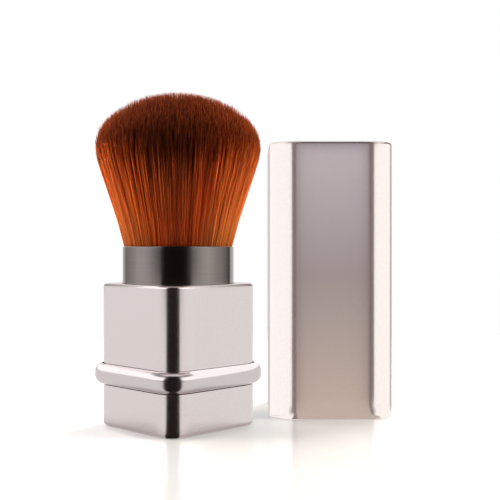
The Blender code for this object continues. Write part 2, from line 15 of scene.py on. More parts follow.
import bmesh
import bpy
import numpy as np
from bpy.types import Material, Mesh, Node, NodeSocket, Object, World
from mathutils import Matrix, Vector


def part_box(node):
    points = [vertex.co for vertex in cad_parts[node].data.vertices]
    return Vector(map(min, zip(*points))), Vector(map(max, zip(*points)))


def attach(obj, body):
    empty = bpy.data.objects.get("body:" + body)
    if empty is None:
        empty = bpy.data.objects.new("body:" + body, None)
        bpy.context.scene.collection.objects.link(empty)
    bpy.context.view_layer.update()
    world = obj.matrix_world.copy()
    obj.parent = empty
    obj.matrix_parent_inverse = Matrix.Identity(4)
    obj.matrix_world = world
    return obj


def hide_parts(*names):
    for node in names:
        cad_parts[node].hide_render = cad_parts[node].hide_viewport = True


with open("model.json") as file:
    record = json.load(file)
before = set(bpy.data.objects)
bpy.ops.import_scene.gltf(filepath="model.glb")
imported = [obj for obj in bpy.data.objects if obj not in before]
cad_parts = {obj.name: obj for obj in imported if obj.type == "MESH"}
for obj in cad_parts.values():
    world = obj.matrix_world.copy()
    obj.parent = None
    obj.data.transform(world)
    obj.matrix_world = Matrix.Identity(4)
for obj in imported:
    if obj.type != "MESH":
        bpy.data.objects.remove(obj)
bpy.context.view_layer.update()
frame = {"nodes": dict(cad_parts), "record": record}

MM = 0.001
WHITE = "#FFFFFF"
BLACK = "#000000"
TOUCH = 0.01 * MM
QUARTER_TURN = math.radians(90)
SHARP = math.radians(50)
FAVOUR_LARGE_FACES = 100
log = logging.getLogger("makeup_brush")

Point = tuple[float, float, float]
Shades = tuple[str, str, str]
Pair = tuple[float, float]
Faces = list[tuple[int, ...]]
Test = Callable[[list[Vector]], bool]


class OpenEnd(Enum):
    """Which end of a drawn shell is open."""

    TOP = "top"
    FOOT = "foot"


class LitFace(Enum):
    """The face of a card that is lit. Its other face is clear."""

    FRONT = "+X, -Y or +Z"
    BACK = "-X, +Y or -Z"


class Grade(Enum):
    """The axis along which a card's shades run."""

    BACKWARD = 1
    UPWARD = 2


def linear(hex_colour: str) -> tuple[float, float, float, float]:
    """Turn an sRGB hex colour into linear RGBA.

    Args:
        hex_colour: A colour such as "#D9CFCC".

    Returns:
        Its linear red, green and blue, with an alpha of 1.
    """
    channels = (int(hex_colour[i:i + 2], 16) / 255 for i in (1, 3, 5))
    rgb = [c / 12.92 if c <= 0.04045 else ((c + 0.055) / 1.055) ** 2.4 for c in channels]
    return (rgb[0], rgb[1], rgb[2], 1.0)


class Look:
    """The node tree of a material, or of the world, that is being made."""

    def __init__(self, owner: Material | World) -> None:
        """Start with an empty tree.

        Args:
            owner: The new material or world.
        """
        self.owner = owner
        owner.use_nodes = True
        self.tree = owner.node_tree
        self.tree.nodes.clear()

    def add(self, kind: str, values: tuple | dict[str | int, object] = (),
            stops: tuple[tuple[float, str], ...] = (), **settings: object) -> Node:
        """Add a node with its settings, constants and links.

        Args:
            kind: The shader node's type, such as "TexNoise".
            values: What goes into its inputs, in their order or by name or number: a constant, an
                output to link from, or a node, whose first output in use is linked. A Map Range
                takes its value, where that runs from and to, and where the result runs from and to.
            stops: A colour ramp's positions and sRGB hex colours, in order.
            settings: The node's own properties.

        Returns:
            The new node.
        """
        node = self.tree.nodes.new(f"ShaderNode{kind}")
        for name, value in settings.items():
            setattr(node, name, value)
        for key, value in values.items() if isinstance(values, dict) else enumerate(values):
            if isinstance(value, Node):
                value = next(output for output in value.outputs if output.enabled)
            if isinstance(value, NodeSocket):
                self.tree.links.new(value, node.inputs[key])
            else:
                node.inputs[key].default_value = value
        while stops and len(node.color_ramp.elements) < len(stops):
            node.color_ramp.elements.new(1.0)
        for number, (position, colour) in enumerate(stops):
            node.color_ramp.elements[number].position = position
            node.color_ramp.elements[number].color = linear(colour)
        return node

    @cached_property
    def place(self) -> NodeSocket:
        """The place of each point, in its piece's own coordinates."""
        return self.add("TexCoord").outputs["Object"]

    @cached_property
    def axes(self) -> Node:
        """The place of each point, split into X, Y and Z."""
        return self.add("SeparateXYZ", (self.place,))

    def end(self, shader: Node) -> Material | World:
        """Show a shader, and hand over what was made.

        Args:
            shader: The last node but one.

        Returns:
            The finished material or world.
        """
        kind = "OutputWorld" if isinstance(self.owner, World) else "OutputMaterial"
        self.add(kind, {"Surface": shader})
        return self.owner


def new_look(name: str) -> Look:
    """Start the look of a new material, named for what it is."""
    return Look(bpy.data.materials.new(name))


def take(obj: Object) -> None:
    """Make an object the only one selected, and the active one.

    Args:
        obj: The object.
    """
    bpy.ops.object.select_all(action="DESELECT")
    obj.select_set(True)
    bpy.context.view_layer.objects.active = obj


def apply_place(obj: Object) -> None:
    """Apply a piece's place, turn and scale to its mesh."""
    take(obj)
    bpy.ops.object.transform_apply(location=True, rotation=True, scale=True)


def start_shape(name: str, primitive: str, **settings: object) -> Object:
    """Add a primitive to shape a piece from.

    Args:
        name: The piece's name.
        primitive: What it starts from, such as "cube".
        settings: The primitive's size and place.

    Returns:
        The piece, with its place in its mesh.
    """
    bpy.ops.object.select_all(action="DESELECT")
    getattr(bpy.ops.mesh, f"primitive_{primitive}_add")(**settings)
    obj = bpy.context.object
    obj.name = name
    obj.data.name = name
    apply_place(obj)
    return obj


def edit_selected(obj: Object, mode: str, chosen: Test, action: Callable[[], object]) -> None:
    """Select edges or faces by their place, and run an edit operator on them.

    Args:
        obj: The piece to edit.
        mode: "EDGE" or "FACE".
        chosen: A test on the corner points of an edge or face.
        action: The operator call to run in edit mode.
    """
    take(obj)
    bpy.ops.object.mode_set(mode="EDIT")
    bpy.ops.mesh.select_mode(type=mode)
    bpy.ops.mesh.select_all(action="DESELECT")
    mesh = bmesh.from_edit_mesh(obj.data)
    for part in mesh.edges if mode == "EDGE" else mesh.faces:
        if chosen([vert.co for vert in part.verts]):
            part.select_set(True)
    mesh.select_flush_mode()
    bmesh.update_edit_mesh(obj.data)
    action()
    bpy.ops.object.mode_set(mode="OBJECT")


def round_edges(obj: Object, chosen: Test, radius: float, segments: int) -> None:
    """Round the edges that pass a test, by a radius and in so many segments."""
    edit_selected(obj, "EDGE", chosen, lambda: bpy.ops.mesh.bevel(
        offset=radius, segments=segments, affect="EDGES", clamp_overlap=False))


def open_end(obj: Object, height: float) -> None:
    """Take away the faces that lie level at a height."""
    edit_selected(obj, "FACE", at_height(height), lambda: bpy.ops.mesh.delete(type="ONLY_FACE"))


def at_height(height: float) -> Test:
    """A test that passes points that all lie at one height."""
    return lambda points: all(abs(point.z - height) < TOUCH for point in points)


def upright(points: list[Vector]) -> bool:
    """Whether an edge stands upright."""
    return abs(points[0].z - points[1].z) > TOUCH and (points[0] - points[1]).to_2d().length < TOUCH


def modify(obj: Object, kind: str, **settings: object) -> None:
    """Add a modifier and apply it.

    Args:
        obj: The piece.
        kind: The modifier's type, such as "SOLIDIFY".
        settings: The modifier's own properties.
    """
    take(obj)
    modifier = obj.modifiers.new(kind.title(), kind)
    for name, value in settings.items():
        setattr(modifier, name, value)
    bpy.ops.object.modifier_apply(modifier=modifier.name)


def give_wall(obj: Object, wall: float) -> None:
    """Give an open shell its wall, inwards."""
    modify(obj, "SOLIDIFY", thickness=wall, offset=-1.0, use_even_offset=True)


def break_edges(obj: Object, radius: float, segments: int) -> None:
    """Round all of a piece's sharp edges a little."""
    modify(obj, "BEVEL", width=radius, segments=segments, limit_method="ANGLE", angle_limit=SHARP)


def finish_normals(obj: Object) -> None:
    """Shade a piece smooth, with its flats kept flat by weighting the normals by area.

    Args:
        obj: The piece.
    """
    take(obj)
    bpy.ops.object.shade_smooth()
    modify(obj, "WEIGHTED_NORMAL", keep_sharp=True, weight=FAVOUR_LARGE_FACES)


def cut(obj: Object, cutter: Object) -> None:
    """Cut a closed shape out of a piece, and remove the shape."""
    modify(obj, "BOOLEAN", object=cutter, operation="DIFFERENCE", solver="EXACT")
    bpy.data.objects.remove(cutter)


def dress(obj: Object, material: Material) -> None:
    """Give a piece one material all over."""
    obj.data.materials.clear()
    obj.data.materials.append(material)


def settle(obj: Object, material: Material, body: str, slot: str, *nodes: str) -> None:
    """Dress a finished piece, and put it on its body in place of the frame's nodes.

    Args:
        obj: The finished piece.
        material: Its material.
        body: The body that it rides on.
        slot: The record's material slot; not used.
        nodes: The nodes that it stands for.
    """
    dress(obj, material)
    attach(obj, body)
    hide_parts(*nodes)
    log.info("%s: %d faces, rides on %s", obj.name, len(obj.data.polygons), body)


# Finishes


@dataclass(frozen=True)
class Grain:
    """A noise in a finish: its real size, its detail, and how it is drawn out along X, Y and Z."""

    size: float
    detail: float = 2.0
    roughness: float = 0.5
    stretch: Point = (1.0, 1.0, 1.0)

    def lay(self, look: Look) -> Node:
        """Lay the noise on a piece.

        Args:
            look: The look that is being made.

        Returns:
            The noise's node.
        """
        drawn = look.add("Mapping", {"Vector": look.place, "Scale": self.stretch})
        return look.add("TexNoise", {"Vector": drawn, "Scale": 1 / self.size, "Detail": self.detail,
                                     "Roughness": self.roughness})


@dataclass(frozen=True)
class Finish:
    """A surface whose colour, gloss and relief a grain breaks up.

    The colour runs from the shade to the tint, and the gloss swings about its roughness. Either
    follows the relief's grain, or broader marks of its own.
    """

    title: str
    tint: str
    shade: str
    roughness: float
    relief: Grain
    depth: float
    strength: float
    flow: Grain | None = None
    smears: Grain | None = None
    swing: Pair = (0.8, 1.2)
    colour_span: Pair = (0.3, 0.7)
    gloss_span: Pair = (0.3, 0.7)
    metallic: float = 1.0
    ior: float = 1.5
    clear_coat: float = 0.0

    def build(self) -> Material:
        """Make the material.

        Returns:
            The material, whose gloss a finish may work out in its own way.
        """
        look = new_look(self.title)
        relief = self.relief.lay(look)
        flow = self.flow.lay(look) if self.flow else relief
        colour = look.add("ValToRGB", (flow,), tuple(zip(self.colour_span, (self.shade, self.tint))))
        bump = look.add("Bump", {"Height": relief, "Strength": self.strength, "Distance": self.depth})
        return look.end(look.add("BsdfPrincipled", {
            "Base Color": colour, "Metallic": self.metallic, "Roughness": self.gloss(look, relief),
            "IOR": self.ior, "Coat Weight": self.clear_coat, "Normal": bump}))

    def gloss(self, look: Look, relief: Node) -> Node:
        """How rough the surface is from place to place.

        Args:
            look: The look that is being made.
            relief: The relief's grain.

        Returns:
            The node that holds the roughness.
        """
        least, most = (self.roughness * share for share in self.swing)
        smears = self.smears.lay(look) if self.smears else relief
        return look.add("MapRange", (smears, *self.gloss_span, least, most))


@dataclass(frozen=True)
class SatinAluminium(Finish):
    """Drawn aluminium, blasted with fine beads and anodised a slightly pink silver.

    The fine blast gives a soft mirror: broad reflections stay clear and small ones melt, with a
    very fine grain over them. Real blast pits are about 0.03 mm, too fine to show, so the grain
    is drawn at 0.3 mm. The corner polish is centred on the shell, and goes by its width.
    """

    title: str = "satin anodised aluminium"
    tint: str = "#EAE1DF"
    shade: str = "#E1D7D5"
    roughness: float = 0.21
    relief: Grain = Grain(0.30 * MM, roughness=0.6)
    depth: float = 0.0004 * MM
    strength: float = 0.35
    smears: Grain = Grain(8 * MM, 3.0)
    smear_share: float = 0.03
    colour_span: Pair = (0.25, 0.75)
    corner_roughness: float = 0.18
    corner_shares: Pair = (1.04, 1.22)
    centre: Pair = (0.0, 0.0)
    width: float = 28.0 * MM

    def gloss(self, look: Look, relief: Node) -> Node:
        """Hands polish the corners a little brighter, and leave broad, faint smears elsewhere.

        Args:
            look: The look that is being made.
            relief: The relief's grain, which the gloss doesn't follow here.

        Returns:
            The node that holds the roughness.
        """
        x, y = self.centre
        centred = look.add("Mapping", {
            "Vector": look.place, "Location": (-x, -y, 0.0), "Scale": (1.0, 1.0, 0.0)})
        reach = look.add("VectorMath", (centred,), operation="LENGTH")
        flat, corner = (self.width / 2 * share for share in self.corner_shares)
        polish = look.add("MapRange", (reach, flat, corner, self.roughness, self.corner_roughness),
                          interpolation_type="SMOOTHSTEP")
        return look.add("Math", (self.smears.lay(look), self.smear_share, polish),
                        operation="MULTIPLY_ADD")


@dataclass(frozen=True)
class PolishedPlating(Finish):
    """Nickel plate, buffed bright, with faint polishing marks.

    The buffing wheel ran along the bead, so the marks are long and lie level.
    """

    title: str = "buffed nickel plate"
    tint: str = "#D8D0CF"
    shade: str = "#D8D0CF"
    roughness: float = 0.17
    relief: Grain = Grain(0.25 * MM, stretch=(0.12, 0.12, 1.0))
    depth: float = 0.0004 * MM
    strength: float = 0.2
    swing: Pair = (0.8, 1.3)


@dataclass(frozen=True)
class GunmetalPlating(Finish):
    """Black nickel over turned metal: a dark mirror with very fine rings left by the lathe.

    The lathe's feed lines are about 0.05 mm apart, drawn wider so that they just show.
    """

    title: str = "black nickel plate"
    tint: str = "#9A928E"
    shade: str = "#978F8B"
    roughness: float = 0.13
    relief: Grain = Grain(0.28 * MM, 1.0, stretch=(0.02, 0.02, 1.0))
    depth: float = 0.0002 * MM
    strength: float = 0.06
    smears: Grain = Grain(5 * MM, 3.0)
    swing: Pair = (0.85, 1.2)


@dataclass(frozen=True)
class MouldedPlastic(Finish):
    """An injection moulded or cast piece: an even colour, broken by the mould's fine pebble."""

    relief: Grain = Grain(0.35 * MM)
    depth: float = 0.004 * MM
    strength: float = 0.4
    flow: Grain = Grain(6 * MM, 3.0)
    swing: Pair = (0.9, 1.1)
    metallic: float = 0.0


@dataclass(frozen=True)
class PlainSteel(Finish):
    """Bare mild steel, turned or stamped: a grey metal with short directional scratches."""

    title: str = "bare turned steel"
    tint: str = "#A9A8AA"
    shade: str = "#8F8E91"
    roughness: float = 0.34
    relief: Grain = Grain(0.2 * MM, stretch=(1.0, 0.1, 0.5))
    depth: float = 0.001 * MM
    strength: float = 0.3
    gloss_span: Pair = (0.0, 1.0)


@dataclass(frozen=True)
class BrushFibre:
    """Crimped nylon filament, dyed orange-brown and dipped dark chocolate at the top of the head.

    Thin filament lets light through, so the head glows orange at its outline; painted backlight
    also turns both its flanks golden. The dip wicks unevenly down the filaments, which leaves a
    ragged border.
    """

    classes: int = 24
    tones: int = 12
    shortest_share: float = 0.617
    dye_and_root_shade_shares: tuple[float, ...] = (0.0, 0.14, 0.42, 0.57, 0.86, 1.0)
    # The roots' colour is painted shade where the filaments pack into the ferrule.
    root: str = "#541A08"
    body: str = "#8C2E0C"
    streak: str = "#D46A20"
    dip: str = "#2A0A06"
    crown: str = "#300D08"
    tip: str = "#B05A2A"
    glow: str = "#F8983E"
    painted_backlight_gold: str = "#CC8440"
    root_radius: float = 9.9 * MM
    root_height: float = 44.0 * MM
    flare: float = 0.6
    wander_share: float = 0.09
    painted_side_rise_share: float = 0.13
    painted_side_span: Pair = (4 * MM, 15 * MM)
    undipped_span: Pair = (0.42, 0.62)
    least_undipped_share: float = 0.10
    streak_span: Pair = (0.45, 1.0)
    streak_share: float = 0.70
    # Where and how much painted backlight gold goes on the flanks.
    golden_span: Pair = (0.50, 1.0)
    golden_share: float = 0.27
    top_span: Pair = (0.62, 0.76)
    pale_shares: Pair = (0.08, 0.52)
    tip_span: Pair = (0.970, 0.995)
    tone_shares: Pair = (0.78, 1.15)
    roughness: float = 0.42
    ior: float = 1.53
    gloss_level: float = 0.12
    glow_share: float = 0.45
    sheer_share: float = 0.45

    @property
    def lanes(self) -> int:
        """How many lanes the UV map has across: a group of tones for each class of length."""
        return self.classes * self.tones

    def build(self) -> Material:
        """Make the material, which reads each strand's tone across its UV map and its length up it.

        Returns:
            The material.
        """
        look = new_look("dyed nylon filament")
        split = look.add("SeparateXYZ", (look.add("UVMap", uv_map="OFBake"),))
        across, along = split.outputs["X"], split.outputs["Y"]
        lane = self.whole_part(look, across, self.lanes)
        tone = look.add("TexWhiteNoise", {"W": lane}, noise_dimensions="1D")
        other = look.add("SeparateColor", (tone.outputs["Color"],))
        height = self.height_in_head(look, across, along)
        aside = look.add("Math", (look.axes.outputs["X"],), operation="ABSOLUTE")
        level = self.level_of_dip(look, height, tone, aside)
        # The roots are painted darker: painted shade where the filaments pack into the ferrule.
        dyes_and_root_shade = (self.root, self.body, self.body, self.dip, self.dip, self.crown)
        dyed = look.add("ValToRGB", (level,), tuple(zip(self.dye_and_root_shade_shares, dyes_and_root_shade)))
        undipped = look.add("MapRange", (level, *self.undipped_span, 1.0, self.least_undipped_share))
        bright = look.add("MapRange", (other.outputs["Green"], *self.streak_span, 0.0, self.streak_share))
        streak = look.add("Math", (bright, undipped), operation="MULTIPLY")
        streaked = look.add("Mix", {"Factor": streak, 6: dyed, 7: linear(self.streak)}, data_type="RGBA")
        # Painted backlight: gold laid on towards both flanks of the head.
        golden = look.add("Math", (self.painted_backlight_share(look, aside), undipped), operation="MULTIPLY")
        with_painted_backlight = look.add("Mix", {"Factor": golden, 6: streaked, 7: linear(self.painted_backlight_gold)}, data_type="RGBA")
        # The ends are painted paler, most of all on top: partly the fine ground points' own paler look,
        # partly painted rim light along the head's outline.
        pale = look.add("MapRange", (height, *self.top_span, *self.pale_shares))
        pale_tips_and_rim_light = look.add("MapRange", (along, *self.tip_span, 0.0, pale))
        tipped = look.add("Mix", {"Factor": pale_tips_and_rim_light, 6: with_painted_backlight, 7: linear(self.tip)}, data_type="RGBA")
        shade = look.add("MapRange", (other.outputs["Blue"], 0.0, 1.0, *self.tone_shares))
        colour = look.add("VectorMath", {0: tipped, "Scale": shade}, operation="SCALE")
        surface = look.add("BsdfPrincipled", {
            "Base Color": colour, "Roughness": self.roughness, "IOR": self.ior,
            "Specular IOR Level": self.gloss_level})
        lit_through = look.add("Mix", {"Factor": self.glow_share, 6: colour, 7: linear(self.glow)},
                               data_type="RGBA")
        glow = look.add("BsdfTranslucent", (lit_through,))
        return look.end(look.add("MixShader", (self.sheer_share, surface, glow)))

    def level_of_dip(self, look: Look, height: Node, tone: Node, aside: Node) -> Node:
        """Where a point lies against the dip's edge, which wanders some 3 mm from strand to strand.

        The dip's edge is raised towards both flanks, by the distance from the middle in X: painted side
        light, which leaves more orange at the flanks.

        Args:
            look: The look that is being made.
            height: How high the point is in the head.
            tone: The strand's own chance number.
            aside: How far the point is from the head's middle, left or right.

        Returns:
            The node that holds the level.
        """
        wander = look.add("MapRange", (tone, 0.0, 1.0, -self.wander_share, self.wander_share))
        # Painted side light: the dip's edge rises towards both flanks.
        painted_side_rise = look.add("MapRange", (aside, *self.painted_side_span, 0.0, self.painted_side_rise_share))
        wandered = look.add("Math", (height, wander), operation="ADD")
        return look.add("Math", (wandered, painted_side_rise), operation="SUBTRACT")

    def painted_backlight_share(self, look: Look, aside: Node) -> Node:
        """How much painted backlight gold goes on the head: none in its middle, more towards both its
        flanks.

        Args:
            look: The look that is being made.
            aside: How far the point is from the head's middle, left or right.

        Returns:
            The node that holds the share of gold.
        """
        start = self.root_radius - self.flare * self.root_height
        half_width = look.add("Math", (look.axes.outputs["Z"], self.flare, start),
                              operation="MULTIPLY_ADD")
        outward = look.add("Math", (aside, half_width), operation="DIVIDE")
        return look.add("MapRange", (outward, *self.golden_span, 0.0, self.golden_share))

    @staticmethod
    def whole_part(look: Look, share: NodeSocket, count: int) -> Node:
        """The number, from 0, of the band that a share falls in, of count equal bands."""
        scaled = look.add("Math", (share, float(count)), operation="MULTIPLY")
        return look.add("Math", (scaled,), operation="FLOOR")

    def height_in_head(self, look: Look, across: NodeSocket, along: NodeSocket) -> Node:
        """How high a point is in the head, from 0 at the roots to 1 at the dome's top.

        Args:
            look: The look that is being made.
            across: The UV map's share across, whose class of length follows the dome.
            along: The UV map's share up the strand.

        Returns:
            The node that holds the height.
        """
        number = self.whole_part(look, across, self.classes)
        inside = look.add("Math", (number, -1 / self.classes, 1 - 0.5 / self.classes),
                          operation="MULTIPLY_ADD")
        dome = look.add("Math", (inside,), operation="SQRT")
        length = look.add("Math", (dome, 1 - self.shortest_share, self.shortest_share),
                          operation="MULTIPLY_ADD")
        return look.add("Math", (length, along), operation="MULTIPLY")


# Sub-assemblies


def rounded_block(name: str, width: float, corner: float, low: float, high: float,
                  centre: Pair = (0.0, 0.0), segments: int = 16) -> Object:
    """Model a square block with rounded upright edges.

    Args:
        name: The block's name.
        width: Its width across the flats.
        corner: The radius of its upright edges.
        low: The height of its foot.
        high: The height of its top.
        centre: Its middle in X and Y.
        segments: How many segments each rounding has.

    Returns:
        The block, not yet turned.
    """
    block = start_shape(name, "cube", size=1.0, location=(*centre, (low + high) / 2),
                        scale=(width, width, high - low))
    round_edges(block, upright, corner, segments)
    return block


@dataclass
class SquareShell:
    """A drawn square shell with rounded upright corners, one end closed and one open."""

    name: str
    width: float
    corner: float
    low: float
    high: float
    wall: float
    fillet: float
    open_end: OpenEnd
    centre: Pair = (0.0, 0.0)
    turn: float = 0.0
    hole_radius: float = 0.0
    hole_sides: int = 160
    hole_cut_walls: float = 8.0
    fillet_segments: int = 6
    rim_round: float = 0.08 * MM
    rim_segments: int = 2

    def build(self) -> Object:
        """Model the shell from a block: round one end, open the other, and give it its wall.

        Returns:
            The shell, turned and shaded.
        """
        shell = rounded_block(self.name, self.width, self.corner, self.low, self.high, self.centre)
        closed, opened = self.low, self.high
        if self.open_end is OpenEnd.FOOT:
            closed, opened = opened, closed
        round_edges(shell, at_height(closed), self.fillet, self.fillet_segments)
        open_end(shell, opened)
        give_wall(shell, self.wall)
        if self.hole_radius:
            cut(shell, start_shape("hole_cutter", "cylinder", vertices=self.hole_sides,
                                   radius=self.hole_radius, depth=self.hole_cut_walls * self.wall,
                                   location=(*self.centre, closed)))
        break_edges(shell, self.rim_round, self.rim_segments)
        shell.rotation_euler.z = self.turn
        apply_place(shell)
        finish_normals(shell)
        return shell


@dataclass
class CaseSizes:
    """Sizes of the square case, read from the frame where it gives them."""

    width: float = 28.0 * MM
    corner: float = 5.3 * MM
    turn: float = math.radians(45)
    fit_gap: float = 0.3 * MM

    def heights(self, node: str) -> Pair:
        """The lowest and highest point of a node of the frame."""
        low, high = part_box(node)
        return low[2], high[2]


@dataclass
class Base:
    """The square cup at the foot, which the hand holds still."""

    sizes: CaseSizes
    finish: SatinAluminium
    wall: float = 0.8 * MM
    fillet: float = 1.0 * MM

    def build(self) -> None:
        """Model the cup, closed at its foot."""
        shell = SquareShell(
            "base_cup", self.sizes.width, self.sizes.corner, *self.sizes.heights("base_shell"),
            self.wall, self.fillet, OpenEnd.TOP, turn=self.sizes.turn).build()
        settle(shell, self.finish.build(), "base", "satin_metal", "base_shell")


@dataclass
class Neck:
    """The square tube above the base, with its bead ring and the hole that the head slides in."""

    sizes: CaseSizes
    finish: SatinAluminium
    ring_finish: PolishedPlating
    wall: float = 0.6 * MM
    fillet: float = 0.7 * MM
    hole_radius: float = 13.35 * MM
    ring_reach: float = 2.0 * MM
    ring_round: float = 1.9 * MM
    ring_segments: int = 10

    def build(self) -> None:
        """Model the tube and the ring."""
        self.build_tube()
        self.build_ring()

    def build_tube(self) -> None:
        """Model the tube, closed at its top but for the round hole."""
        tube = SquareShell(
            "neck_tube", self.sizes.width, self.sizes.corner, *self.sizes.heights("neck_shell"),
            self.wall, self.fillet, OpenEnd.FOOT, turn=self.sizes.turn,
            hole_radius=self.hole_radius).build()
        settle(tube, self.finish.build(), "neck", "satin_metal", "neck_shell")

    def build_ring(self) -> None:
        """Model the half-round bead: a rounded block, cut out to go round the tube."""
        low, high = self.sizes.heights("bead_ring")
        width = self.sizes.width + 2 * self.ring_reach
        ring = rounded_block("bead", width, self.sizes.corner + self.ring_reach, low, high)
        for height in (low, high):
            round_edges(ring, at_height(height), self.ring_round, self.ring_segments)
        inner = self.sizes.width + 2 * self.sizes.fit_gap
        cut(ring, rounded_block("bead_cutter", inner, self.sizes.corner + self.sizes.fit_gap,
                                low - self.wall, high + self.wall))
        ring.rotation_euler.z = self.sizes.turn
        apply_place(ring)
        finish_normals(ring)
        settle(ring, self.ring_finish.build(), "neck", "polished_metal", "bead_ring")


@dataclass
class Ferrule:
    """The turned tube that holds the bristles, drawn in at its foot to sit on the carrier."""

    finish: GunmetalPlating
    radius: float = 13.05 * MM
    wall: float = 0.4 * MM
    foot_bore: float = 9.6 * MM
    edge: float = 0.15 * MM
    edge_segments: int = 3
    sides: int = 160

    def build(self) -> None:
        """Model the tube from a closed cylinder, with a lip at its foot."""
        (_, _, low), (_, _, high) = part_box("ferrule")
        tube = start_shape("ferrule_tube", "cylinder", vertices=self.sides, radius=self.radius,
                           depth=high - low, location=(0.0, 0.0, (low + high) / 2))
        open_end(tube, high)
        edit_selected(tube, "FACE", at_height(low), self.open_foot)
        give_wall(tube, self.wall)
        break_edges(tube, self.edge, self.edge_segments)
        finish_normals(tube)
        settle(tube, self.finish.build(), "head", "dark_metal", "ferrule")

    def open_foot(self) -> None:
        """Draw a lip in from the foot's edge, and open what is inside it."""
        bpy.ops.mesh.inset(thickness=self.radius - self.foot_bore)
        bpy.ops.mesh.delete(type="ONLY_FACE")


@dataclass
class BristleHead:
    """Some 24,000 tapered filaments in a knot that flares from the ferrule to a domed top."""

    finish: BrushFibre
    root_radius: float = 12.3 * MM
    root_depth: float = 1.2 * MM
    fan_radius: float = 19.3 * MM
    fan_height: float = 21.8 * MM
    dome_height: float = 14.3 * MM
    straight_share: float = 0.85
    ease_share: float = 0.30
    thickness: float = 0.15 * MM
    tip_share: float = 0.25
    tufts: int = 4
    strands_per_tuft: int = 6000
    outer_share: float = 0.45
    rim_share: float = 0.2
    rim_power: float = 1.5
    clumps: int = 900
    clump_pull: float = 0.34
    pull_power: float = 1.5
    clump_tone_share: float = 0.14
    stray: float = 0.45 * MM
    wave: float = 0.16 * MM
    waves: float = 9.0
    scatter: float = 0.55 * MM
    stations: tuple[float, ...] = (0.3, 0.55, 0.78, 0.93)
    seed: int = 11
    lane_swing_share: float = 0.2
    lane_edge_share: float = 0.15
    map_edge_share: float = 0.002

    def build(self) -> None:
        """Model one strand, copy it along its own line into each tuft, and dress the tufts."""
        points, faces = self.model_strand()
        material = self.finish.build()
        rng = np.random.default_rng(self.seed)
        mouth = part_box("ferrule")[1][2]
        for number in range(self.tufts):
            tuft = self.lay_tuft(f"bristles_{number + 1}", points, faces, mouth, rng)
            settle(tuft, material, "head", "bristle_fibre", "bristles")

    def model_strand(self) -> tuple[np.ndarray, Faces]:
        """Model one filament as by hand: a three-sided cone, cut into lengths.

        Returns:
            Its points, with Z from 0 at the root to 1 at the tip, and its faces.
        """
        strand = start_shape("strand", "cone", vertices=3, radius1=1.0, radius2=1.0, depth=1.0,
                             location=(0.0, 0.0, 0.5))
        for height in self.stations:
            edit_selected(strand, "FACE", lambda points: True, lambda: bpy.ops.mesh.bisect(
                plane_co=(0.0, 0.0, height), plane_no=(0.0, 0.0, 1.0)))
        points = np.array([vert.co[:] for vert in strand.data.vertices])
        faces = [tuple(face.vertices) for face in strand.data.polygons]
        bpy.data.objects.remove(strand)
        return points, faces

    def lay_tuft(self, name: str, points: np.ndarray, faces: Faces, mouth: float,
                 rng: np.random.Generator) -> Object:
        """Copy the strand along each filament's line.

        Args:
            name: The tuft's name.
            points: The strand's points.
            faces: The strand's faces.
            mouth: The height of the ferrule's mouth.
            rng: The source of the scatter.

        Returns:
            The tuft, with each strand's tone lane and length in its UV map.
        """
        count = self.strands_per_tuft
        outer = rng.random(count) < self.outer_share
        share = np.where(outer, 1 - self.rim_share * rng.random(count) ** self.rim_power,
                         np.sqrt(rng.random(count)))
        flat = self.round_the_middle(share, rng.random(count) * math.tau)
        along = points[:, 2]
        tip = (mouth + self.fan_height + self.dome_height * np.sqrt(1 - share ** 2)
               - np.abs(rng.normal(0, self.scatter, count)))
        root = mouth - self.root_depth
        height = root + along[None, :] * (tip - root)[:, None]
        spread = self.root_radius + (self.fan_radius - self.root_radius) * self.lean(
            (height - mouth) / self.fan_height)
        centres = self.clump_centres()
        clump = ((flat[:, None, :] - centres[None, :, :]) ** 2).sum(axis=2).argmin(axis=1)
        pulled = flat + (centres[clump] - flat) * self.clump_pull
        rise = np.clip((height - mouth) / (self.fan_height + self.dome_height), 0, 1)[:, :, None]
        pull = rise ** self.pull_power
        line = (flat[:, None, :] * (1 - pull) + pulled[:, None, :] * pull) * spread[:, :, None]
        line += rng.normal(0, self.stray, (count, 1, 2)) * rise ** 2
        phase = rng.random((count, 1, 2)) * math.tau
        line += self.wave * np.sin(phase + self.waves * along[None, :, None]) * rise
        turned = rng.random(count) * math.tau
        start = np.arctan2(points[:, 1], points[:, 0])
        across = self.round_the_middle(self.taper(along)[None, :], start[None, :] + turned[:, None])
        verts = np.concatenate([line + across, height[:, :, None]], axis=2).reshape(-1, 3)
        all_faces = [tuple(corner + index * len(points) for corner in face)
                     for index in range(count) for face in faces]
        mesh = bpy.data.meshes.new(name)
        mesh.from_pydata(verts.tolist(), [], all_faces)
        self.map_tones(mesh, points, faces, self.pick_lanes(share, clump, rng))
        mesh.shade_smooth()
        tuft = bpy.data.objects.new(name, mesh)
        bpy.context.collection.objects.link(tuft)
        return tuft

    @staticmethod
    def round_the_middle(radius: np.ndarray, angle: np.ndarray) -> np.ndarray:
        """Places in X and Y, in the last axis, from radii and angles."""
        return np.stack([radius * np.cos(angle), radius * np.sin(angle)], axis=-1)

    def taper(self, along: np.ndarray) -> np.ndarray:
        """How thick a filament is: even as far as its third cut, then drawn in to its tip.

        Args:
            along: Shares of its length.

        Returns:
            Its radii there.
        """
        start = self.stations[2]
        ending = np.maximum(along - start, 0) / (1 - start)
        return self.thickness / 2 * (1 - (1 - self.tip_share) * ending ** 2)

